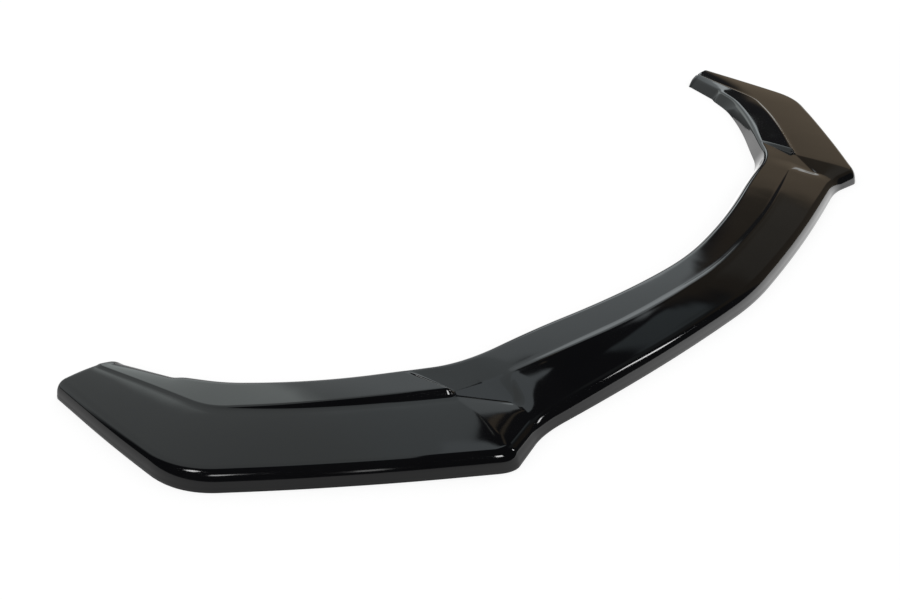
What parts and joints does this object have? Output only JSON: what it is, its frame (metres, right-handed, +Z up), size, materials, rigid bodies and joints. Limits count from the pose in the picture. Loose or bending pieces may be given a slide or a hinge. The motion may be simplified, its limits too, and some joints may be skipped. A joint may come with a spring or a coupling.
{
  "type": "front splitter lip",
  "caption": "Gloss black front splitter lip: a long formed plastic sheet with a swept nose, a raised ridge and two wings that turn back, open underneath.",
  "frame": {"origin": "centre of the lip's box at floor level, on the plane of its lower rim", "axes": "+X across the car along the lip, -Y to the front of the car, +Z up"},
  "size_m": [1.752, 0.5824, 0.0377],
  "materials": {
    "gloss_black_abs": "gloss"
  },
  "bodies": {
    "root": {"splitter_lip": "gloss_black_abs"}
  },
  "joints": []
}
